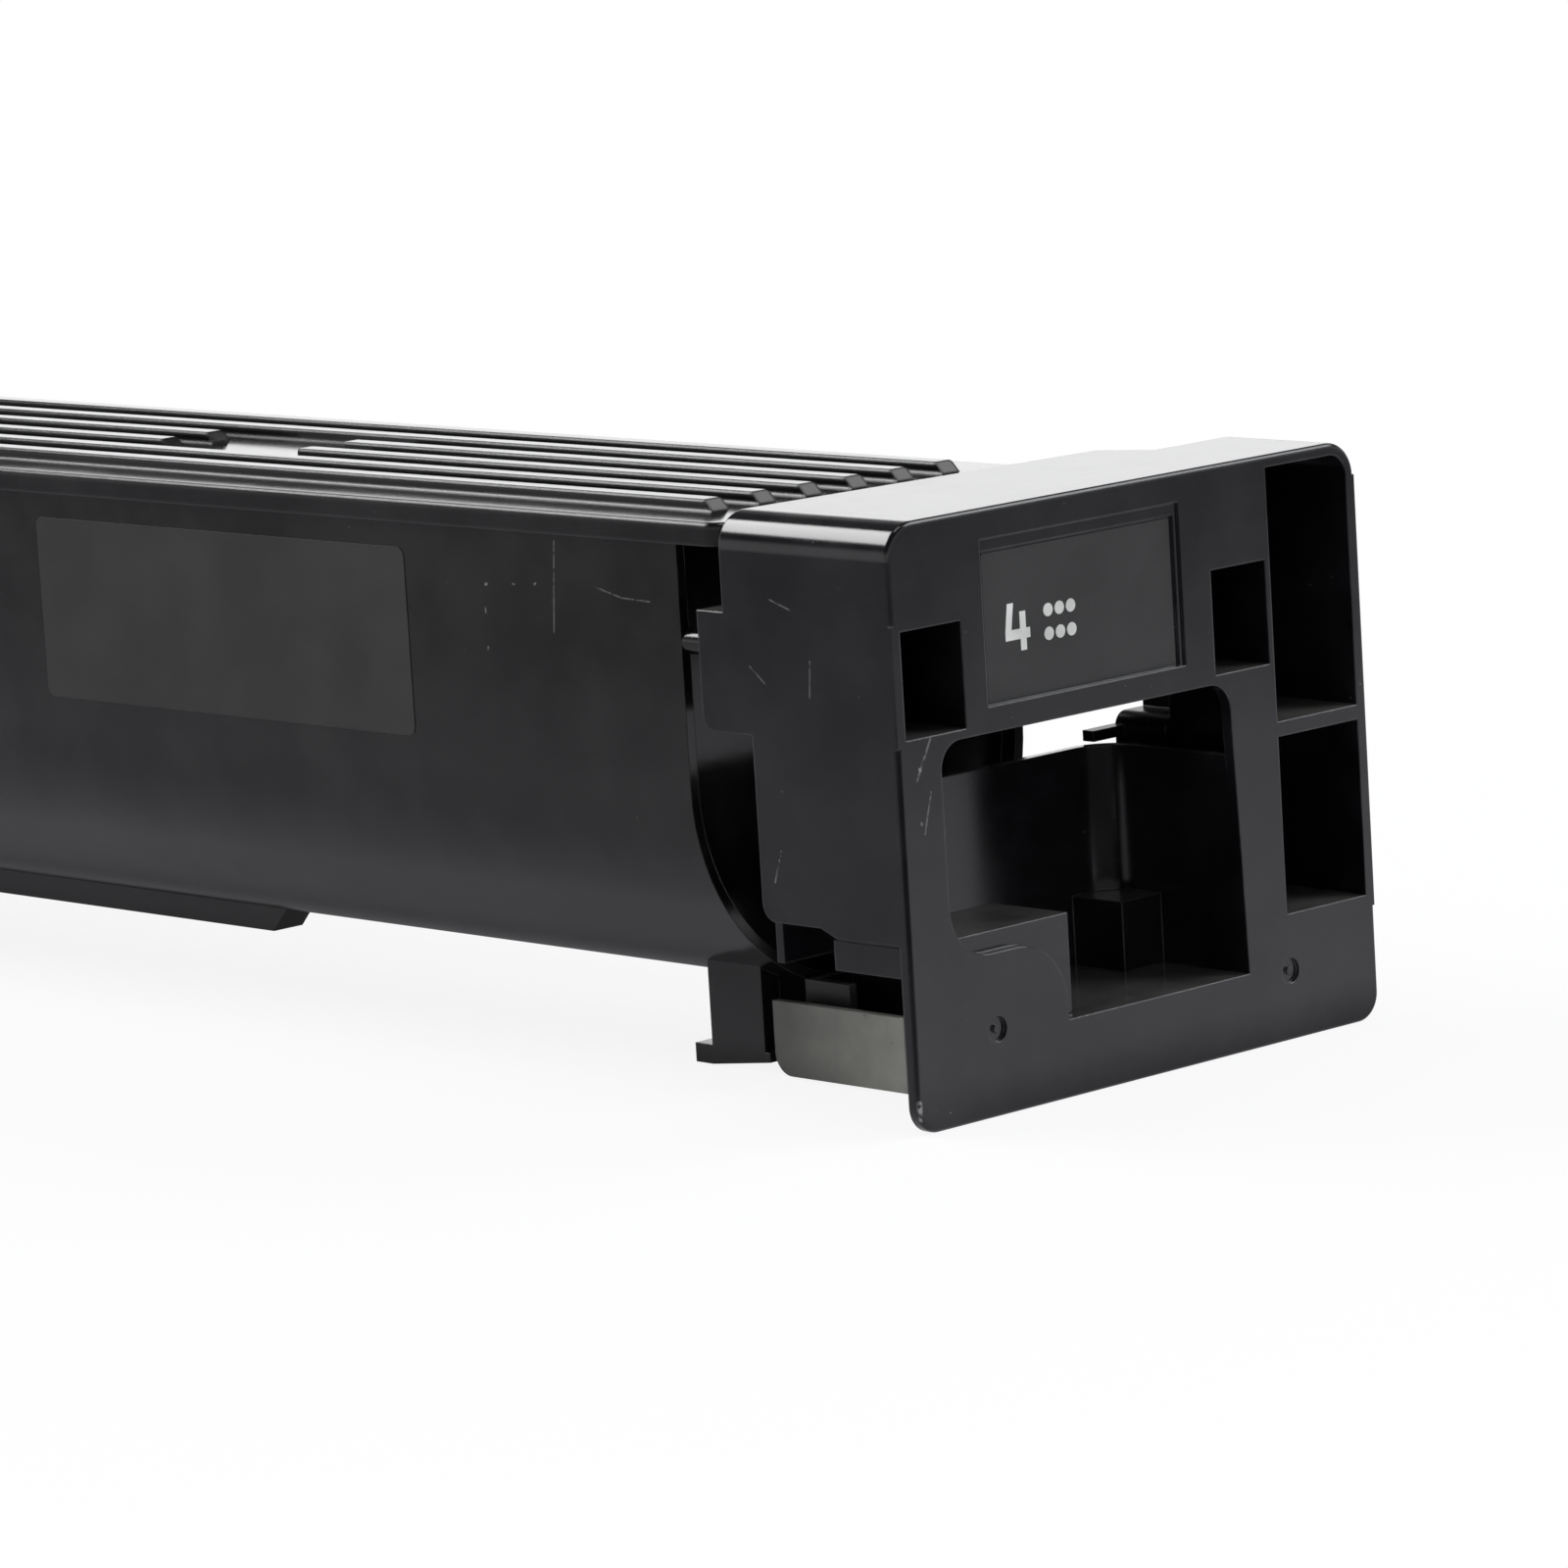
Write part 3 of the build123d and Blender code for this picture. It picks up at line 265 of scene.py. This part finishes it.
def moulded_plastic(
    name,
    colour,
    gloss,
    grain_mm,
    grain_depth,
    specks=0.4,
    top_paling=0.3,
    soften=0.0004,
    edge_highlight=0.5,
):
    """Moulding with fine grain, cloudy handling marks and pale dust specks, paler on upward faces,
    with rounded edges and a painted highlight along them.
    """
    finish = bpy.data.materials.new(name)
    finish.use_nodes = True
    tree = finish.node_tree
    shader = tree.nodes["Principled BSDF"]
    place = finish_step(tree, "TexCoord").outputs["Object"]

    grain = finish_step(tree, "TexNoise", Vector=place, Scale=1000 / grain_mm, Detail=3)
    rounded = finish_step(tree, "Bevel", Radius=soften).outputs["Normal"]
    relief = finish_step(
        tree,
        "Bump",
        Strength=grain_depth,
        Distance=0.0001,
        Height=grain.outputs["Fac"],
        Normal=rounded,
    )
    tree.links.new(relief.outputs["Normal"], shader.inputs["Normal"])

    clouds = finish_step(
        tree, "TexNoise", Vector=place, Scale=42, Detail=7, Roughness=0.62
    ).outputs["Fac"]
    handled = eased(tree, clouds, 0.3, 0.7, gloss * 0.82, gloss * 1.22)
    tree.links.new(handled, shader.inputs["Roughness"])

    mottled = eased(tree, clouds, 0.4, 0.65)
    clean = blended(
        tree,
        mottled,
        (*[part * 0.8 for part in colour], 1),
        (*[part * 1.15 + 0.007 for part in colour], 1),
    )

    dust = finish_step(tree, "TexVoronoi", Vector=place, Scale=210)
    dusted = finish_step(
        tree,
        "Math",
        "MULTIPLY",
        first=eased(tree, dust.outputs["Distance"], 0.05, 0.02),
        second=eased(tree, clouds, 0.47, 0.64, 0, specks),
    )
    speckled = blended(tree, dusted.outputs[0], clean, dust_pale)

    # Upward-facing surfaces are made paler by a grey mixed into the colour.
    surface = finish_step(tree, "NewGeometry").outputs["Normal"]
    facing = finish_step(tree, "SeparateXYZ", Vector=surface)
    top_share = finish_step(
        tree,
        "Math",
        "MULTIPLY",
        first=eased(tree, facing.outputs["Z"], 0.93, 1.0),
        second=eased(tree, clouds, 0.4, 0.6, top_paling * 0.55, top_paling),
    )
    paled_on_top = blended(tree, top_share.outputs[0], speckled, top_grey)

    # Painted highlight: edges are made paler where the rounded normal turns away from the face, in
    # place of lamp glints.
    turned = finish_step(tree, "VectorMath", "DOT_PRODUCT", first=rounded, second=surface)
    at_edge = finish_step(
        tree,
        "Math",
        "MULTIPLY",
        first=eased(tree, turned.outputs["Value"], 0.97, 0.85, 0, edge_highlight),
        second=mottled,
    )
    edge_highlighted = blended(tree, at_edge.outputs[0], paled_on_top, painted_highlight_grey)
    tree.links.new(edge_highlighted, shader.inputs["Base Color"])
    return finish


def scratched(finish, *marks):
    """Pale, broken scratches: where each starts and ends, its width and its strength."""
    tree = finish.node_tree
    coat = tree.nodes["Principled BSDF"].inputs["Base Color"]
    place = finish_step(tree, "TexCoord").outputs["Object"]
    ragged = finish_step(tree, "TexNoise", Vector=place, Scale=900)
    breaks = eased(tree, ragged.outputs["Fac"], 0.36, 0.52)
    for start, end, width, strength in marks:
        run = Vector(end) - Vector(start)
        per_run = run / run.length_squared
        reach = finish_step(
            tree, "VectorMath", "SUBTRACT", first=place, second=start
        ).outputs["Vector"]
        along = finish_step(tree, "VectorMath", "DOT_PRODUCT", first=reach, second=per_run)
        kept = finish_step(tree, "Clamp", Value=along.outputs["Value"])
        foot = finish_step(
            tree, "VectorMath", "SCALE", first=run, Scale=kept.outputs["Result"]
        )
        aside = finish_step(
            tree, "VectorMath", "DISTANCE", first=reach, second=foot.outputs["Vector"]
        )
        line = eased(tree, aside.outputs["Value"], width / 2, width / 6, 0, strength)
        broken = finish_step(tree, "Math", "MULTIPLY", first=line, second=breaks)
        pale = blended(tree, broken.outputs[0], coat.links[0].from_socket, scratch_pale)
        tree.links.new(pale, coat)


def dress(finish, *nodes):
    """Give the named pieces this finish."""
    for node in nodes:
        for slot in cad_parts[node].material_slots:
            slot.material = finish


near_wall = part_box("hopper_body")[0][0]
hopper_black = moulded_plastic(
    "hopper_black", (0.005, 0.005, 0.005), gloss=0.16, grain_mm=0.9, grain_depth=0.08
)
hopper_marks = (
    ((0.0978, 0.1083), (0.0995, 0.0900), 0.0005, 0.4),
    ((0.0865, 0.0998), (0.0790, 0.0981), 0.0005, 0.35),
    ((0.0790, 0.0981), (0.0708, 0.0978), 0.0005, 0.3),
    ((0.1191, 0.0984), (0.1186, 0.0986), 0.0008, 0.6),
    ((0.1110, 0.0990), (0.1104, 0.0989), 0.0006, 0.5),
    ((0.1044, 0.0993), (0.1040, 0.0995), 0.0006, 0.5),
    ((0.1196, 0.0937), (0.1195, 0.0928), 0.0006, 0.5),
    ((0.1195, 0.0858), (0.1198, 0.0850), 0.0006, 0.4),
)
scratched(
    hopper_black,
    *[((near_wall, *start), (near_wall, *end), *size) for start, end, *size in hopper_marks],
)
dress(hopper_black, "hopper_body")

# Lid: welded on the hopper, in the same black styrene but polished, with six
# moulded ribs that catch the light on their crests.
lid_black = moulded_plastic(
    "lid_gloss_black",
    (0.005, 0.005, 0.0052),
    gloss=0.1,
    grain_mm=1.4,
    grain_depth=0.04,
    specks=0.3,
    top_paling=0.1,
    soften=0.001,
    edge_highlight=0.1,
)
dress(lid_black, "top_lid")

# Front cover: one styrene moulding with the grip, wells and pockets, screwed to
# the hopper. Its black is a little blue, with a finer, satin grain. The rear cap
# is moulded in the same plastic.
cover_black = moulded_plastic(
    "cover_satin_black",
    (0.0052, 0.0052, 0.0068),
    gloss=0.14,
    grain_mm=0.5,
    grain_depth=0.06,
    specks=0.6,
    top_paling=0.5,
    soften=0.0005,
    edge_highlight=0.6,
)
skirt_wall = -0.065
plate_marks = (
    ((-0.0562, 0.0753), (-0.0605, 0.0675), 0.0007, 0.4),
    ((-0.0568, 0.0652), (-0.0590, 0.0575), 0.0006, 0.35),
    ((-0.0645, 0.0030), (-0.0645, 0.0064), 0.0015, 1.0),
    ((-0.0628, 0.1159), (-0.0647, 0.1149), 0.0009, 0.7),
    ((-0.0595, 0.0700), (-0.0593, 0.0697), 0.0008, 0.7),
    ((-0.0598, 0.0597), (-0.0597, 0.0594), 0.0007, 0.6),
)
skirt_marks = (
    ((0.0326, 0.1011), (0.0273, 0.0995), 0.0005, 0.4),
    ((0.0225, 0.0899), (0.0231, 0.0828), 0.0005, 0.35),
    ((0.0392, 0.0878), (0.0354, 0.0848), 0.0005, 0.35),
    ((0.0336, 0.0523), (0.0358, 0.0461), 0.0006, 0.4),
)
scratched(
    cover_black,
    *[((x, 0, z), (end_x, 0, end_z), *size) for (x, z), (end_x, end_z), *size in plate_marks],
    *[((skirt_wall, *start), (skirt_wall, *end), *size) for start, end, *size in skirt_marks],
)
dress(cover_black, "front_cover", "rear_cap")

# Outlet housing, holder, plug, auger and shaft: black plastic left matt from the
# mould. The seals between them are cut from grey closed-cell foam.
matte_black = moulded_plastic(
    "inner_matte_black", (0.005, 0.005, 0.005), gloss=0.3, grain_mm=0.4, grain_depth=0.12
)
dress(matte_black, "outlet_housing", "chip_holder", "filler_plug", "auger", "agitator_shaft")
seal_grey = moulded_plastic(
    "seal_foam_grey", (0.05, 0.05, 0.05), gloss=0.85, grain_mm=0.5, grain_depth=0.8
)
dress(seal_grey, "outlet_seal", "auger_seal", "agitator_seal")

# Shutter: natural, milky plastic that slides under the outlet. It is thinner and
# paler towards the face, with a pale crease up its near wall.
shutter_rear, shutter_front = 0.062, 0.032
milky = moulded_plastic(
    "shutter_milky",
    (0.52, 0.52, 0.47),
    gloss=0.3,
    grain_mm=0.8,
    grain_depth=0.1,
    specks=0.2,
    top_paling=0,
)
milky_tree = milky.node_tree
milky_shader = milky_tree.nodes["Principled BSDF"]
milky_shader.inputs["Transmission Weight"].default_value = 0.45
milky_shader.inputs["IOR"].default_value = 1.49
milky_place = finish_step(milky_tree, "TexCoord")
milky_parts = finish_step(milky_tree, "SeparateXYZ", Vector=milky_place.outputs["Object"])
thinner = eased(milky_tree, milky_parts.outputs["Y"], shutter_rear, shutter_front, 0.4, 1.25)
paler = finish_step(
    milky_tree,
    "VectorMath",
    "SCALE",
    first=milky_shader.inputs["Base Color"].links[0].from_socket,
    Scale=thinner,
)
milky_tree.links.new(paler.outputs["Vector"], milky_shader.inputs["Base Color"])
scratched(milky, ((-0.0396, 0.0478, 0.0158), (-0.0396, 0.0488, 0.0010), 0.0016, 0.35))
dress(milky, "outlet_shutter")

# Gears, bushes and coupling: moulded in natural acetal, slightly waxy, and pushed
# on their shafts or into their walls. The agitator's film is clear polyester.
acetal = moulded_plastic(
    "natural_acetal",
    (0.62, 0.61, 0.57),
    gloss=0.38,
    grain_mm=0.6,
    grain_depth=0.08,
    specks=0.1,
    top_paling=0,
)
dress(acetal, "agitator_gear", "auger_gear", "drive_coupling")
dress(acetal, "auger_front_bush", "auger_rear_bush", "agitator_front_bush", "agitator_rear_bush")
film = moulded_plastic(
    "agitator_polyester",
    (0.55, 0.57, 0.6),
    gloss=0.15,
    grain_mm=2.0,
    grain_depth=0.05,
    specks=0.1,
    top_paling=0,
)
film.node_tree.nodes["Principled BSDF"].inputs["Transmission Weight"].default_value = 0.6
dress(film, "agitator_film")

# Screws and spindle: steel, turned or rolled, then zinc-plated, so that fine
# marks run through dull and bright patches.


def plated_metal(name, darker, brighter):
    """Bright plating with fine turning marks and dull patches."""
    finish = bpy.data.materials.new(name)
    finish.use_nodes = True
    tree = finish.node_tree
    shader = tree.nodes["Principled BSDF"]
    shader.inputs["Metallic"].default_value = 1.0
    place = finish_step(tree, "TexCoord").outputs["Object"]
    marks = finish_step(tree, "TexNoise", Vector=place, Scale=900, Detail=4).outputs["Fac"]
    tree.links.new(eased(tree, marks, 0, 1, 0.22, 0.45), shader.inputs["Roughness"])
    tint = blended(tree, marks, (*darker, 1), (*brighter, 1))
    tree.links.new(tint, shader.inputs["Base Color"])
    relief = finish_step(tree, "Bump", Strength=0.2, Distance=0.0001, Height=marks)
    tree.links.new(relief.outputs["Normal"], shader.inputs["Normal"])
    return finish


zinc = plated_metal("zinc_plate", (0.5, 0.5, 0.51), (0.66, 0.66, 0.65))
dress(zinc, "cover_screws", "outlet_screws", "rear_cap_screws", "drive_spindle")

# Memory board: glass-fibre board under green lacquer, clipped in its holder.
# Its contact pads are added further down.
board_green = moulded_plastic(
    "board_green",
    (0.02, 0.12, 0.05),
    gloss=0.3,
    grain_mm=0.5,
    grain_depth=0.2,
    specks=0.1,
    top_paling=0,
)
dress(board_green, "memory_chip")

# Side label: a blank dark-grey film with rounded corners, stuck on the hopper's
# near wall.
side_label_thickness = 0.00014
sunk_depth = 0.00001


def stuck_plate(name, outline, finish, thickness):
    """Flat plate from its outline, raised to the side that sees the outline run anticlockwise."""
    mesh = bpy.data.meshes.new(name)
    sheet = bmesh.new()
    face = sheet.faces.new([sheet.verts.new(point) for point in outline])
    face.normal_update()
    outwards = face.normal * thickness
    raised = bmesh.ops.extrude_face_region(sheet, geom=[face])
    for vertex in [item for item in raised["geom"] if isinstance(item, bmesh.types.BMVert)]:
        vertex.co += outwards
    bmesh.ops.recalc_face_normals(sheet, faces=sheet.faces)
    sheet.to_mesh(mesh)
    sheet.free()
    mesh.materials.append(finish)
    plate = bpy.data.objects.new(name, mesh)
    bpy.context.collection.objects.link(plate)
    return plate


def rounded_outline(low, high, radius, steps=8):
    """Points round a rectangle with rounded corners, anticlockwise, in two coordinates."""
    points = []
    for corner_x, corner_z, start in (
        (high[0] - radius, high[1] - radius, 0),
        (low[0] + radius, high[1] - radius, 90),
        (low[0] + radius, low[1] + radius, 180),
        (high[0] - radius, low[1] + radius, 270),
    ):
        for step in range(steps + 1):
            angle = radians(start + 90 * step / steps)
            points.append((corner_x + radius * cos(angle), corner_z + radius * sin(angle)))
    return points


def round_outline(middle, radius, steps):
    """Points round a circle, anticlockwise, in two coordinates."""
    angles = [radians(360 * step / steps) for step in range(steps)]
    return [(middle[0] + radius * cos(angle), middle[1] + radius * sin(angle)) for angle in angles]


label_film = moulded_plastic(
    "label_dark_grey",
    (0.021, 0.021, 0.021),
    gloss=0.5,
    grain_mm=0.3,
    grain_depth=0.1,
    specks=0.2,
    top_paling=0,
    soften=0.0001,
)
side_label_points = rounded_outline((0.1435, 0.066), (0.2625, 0.1045), radius=0.002)
side_label = stuck_plate(
    "side_label",
    [(near_wall - sunk_depth, y, z) for y, z in reversed(side_label_points)],
    label_film,
    side_label_thickness,
)
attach(side_label, "housing")

# Face label: a blank film of the same kind, stuck in the cover's recess, with a
# plain 4 and two rows of counting dots printed on it in white.
face_label_back = 0.00099
face_label_thickness = 0.00016
print_plane = face_label_back - face_label_thickness
ink_thickness = 0.00003
face_label_points = rounded_outline((-0.0394, 0.0795), (0.0122, 0.1081), radius=0.0006)
face_label = stuck_plate(
    "face_label",
    [(x, face_label_back, z) for x, z in face_label_points],
    label_film,
    face_label_thickness,
)
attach(face_label, "housing")

print_white = moulded_plastic(
    "print_white",
    (0.82, 0.82, 0.8),
    gloss=0.45,
    grain_mm=0.3,
    grain_depth=0.05,
    specks=0.1,
    top_paling=0,
    soften=0.00005,
    edge_highlight=0,
)
figure_left, figure_foot = -0.0339, 0.0883
figure_width, figure_height = 0.0067, 0.0094
figure_shape = (
    (0.12, 1.0),
    (0.0, 0.42),
    (0.0, 0.24),
    (0.6, 0.24),
    (0.6, 0.0),
    (0.84, 0.0),
    (0.84, 0.24),
    (1.0, 0.24),
    (1.0, 0.45),
    (0.84, 0.45),
    (0.84, 0.8),
    (0.6, 0.8),
    (0.6, 0.45),
    (0.25, 0.45),
    (0.37, 1.0),
)
figure_four = stuck_plate(
    "figure_four",
    [
        (figure_left + figure_width * x, print_plane, figure_foot + figure_height * z)
        for x, z in figure_shape
    ],
    print_white,
    ink_thickness,
)
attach(figure_four, "housing")

dot_radius = 0.0013
dot_across, dot_up = 0.0031, 0.0046
first_dot = (-0.0221, 0.0905)
for dot in range(6):
    dot_middle = (first_dot[0] + dot_across * (dot % 3), first_dot[1] + dot_up * (dot // 3))
    counting_dot = stuck_plate(
        f"counting_dot_{dot}",
        [(x, print_plane, z) for x, z in round_outline(dot_middle, dot_radius, steps=24)],
        print_white,
        ink_thickness,
    )
    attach(counting_dot, "housing")

# Guide web: a thin wall in the hopper's black styrene, across from the guide post to the auger
# trough. It is put there so that the gap between them shows dark, as a dark sheet standing in for
# shade.
web_rear = 0.080
web_thickness = 0.002
web_shape = (
    (-0.0334, 0.0046),
    (-0.0085, 0.0046),
    (-0.0075, 0.0056),
    (-0.0075, 0.0158),
    (-0.0200, 0.0158),
    (-0.0250, 0.0170),
    (-0.0298, 0.0185),
    (-0.0334, 0.0198),
)
gap_shade_web = stuck_plate(
    "gap_shade_web",
    [(x, web_rear, z) for x, z in web_shape],
    hopper_black,
    web_thickness,
)
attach(gap_shade_web, "housing")

# Locating pin: a round peg in the hopper's black styrene, moulded on its front
# wall beside the near screw boss, and seen behind the cover's skirt.
pin_middle = (-0.0584, 0.0903)
pin_radius = 0.0026
pin_root = 0.0666
pin_length = 0.0156
locating_pin = stuck_plate(
    "locating_pin",
    [(x, pin_root, z) for x, z in round_outline(pin_middle, pin_radius, steps=48)],
    hopper_black,
    pin_length,
)
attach(locating_pin, "housing")

# Chip contacts: four gold-plated copper pads, etched on the memory board's
# outer side.
pad_half_width, pad_half_height = 0.0026, 0.0011
pad_corner = 0.0004
pad_thickness = 0.00006
pad_count = 4
gold = plated_metal("contact_gold", (0.72, 0.5, 0.2), (0.83, 0.62, 0.3))
board_low, board_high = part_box("memory_chip")
pad_y = (board_low[1] + board_high[1]) / 2
for pad in range(pad_count):
    pad_z = board_low[2] + (board_high[2] - board_low[2]) * (pad + 0.5) / pad_count
    pad_low = (pad_y - pad_half_width, pad_z - pad_half_height)
    pad_high = (pad_y + pad_half_width, pad_z + pad_half_height)
    contact_pad = stuck_plate(
        f"contact_pad_{pad}",
        [
            (board_high[0] - sunk_depth, y, z)
            for y, z in rounded_outline(pad_low, pad_high, pad_corner, steps=4)
        ],
        gold,
        pad_thickness,
    )
    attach(contact_pad, "housing")
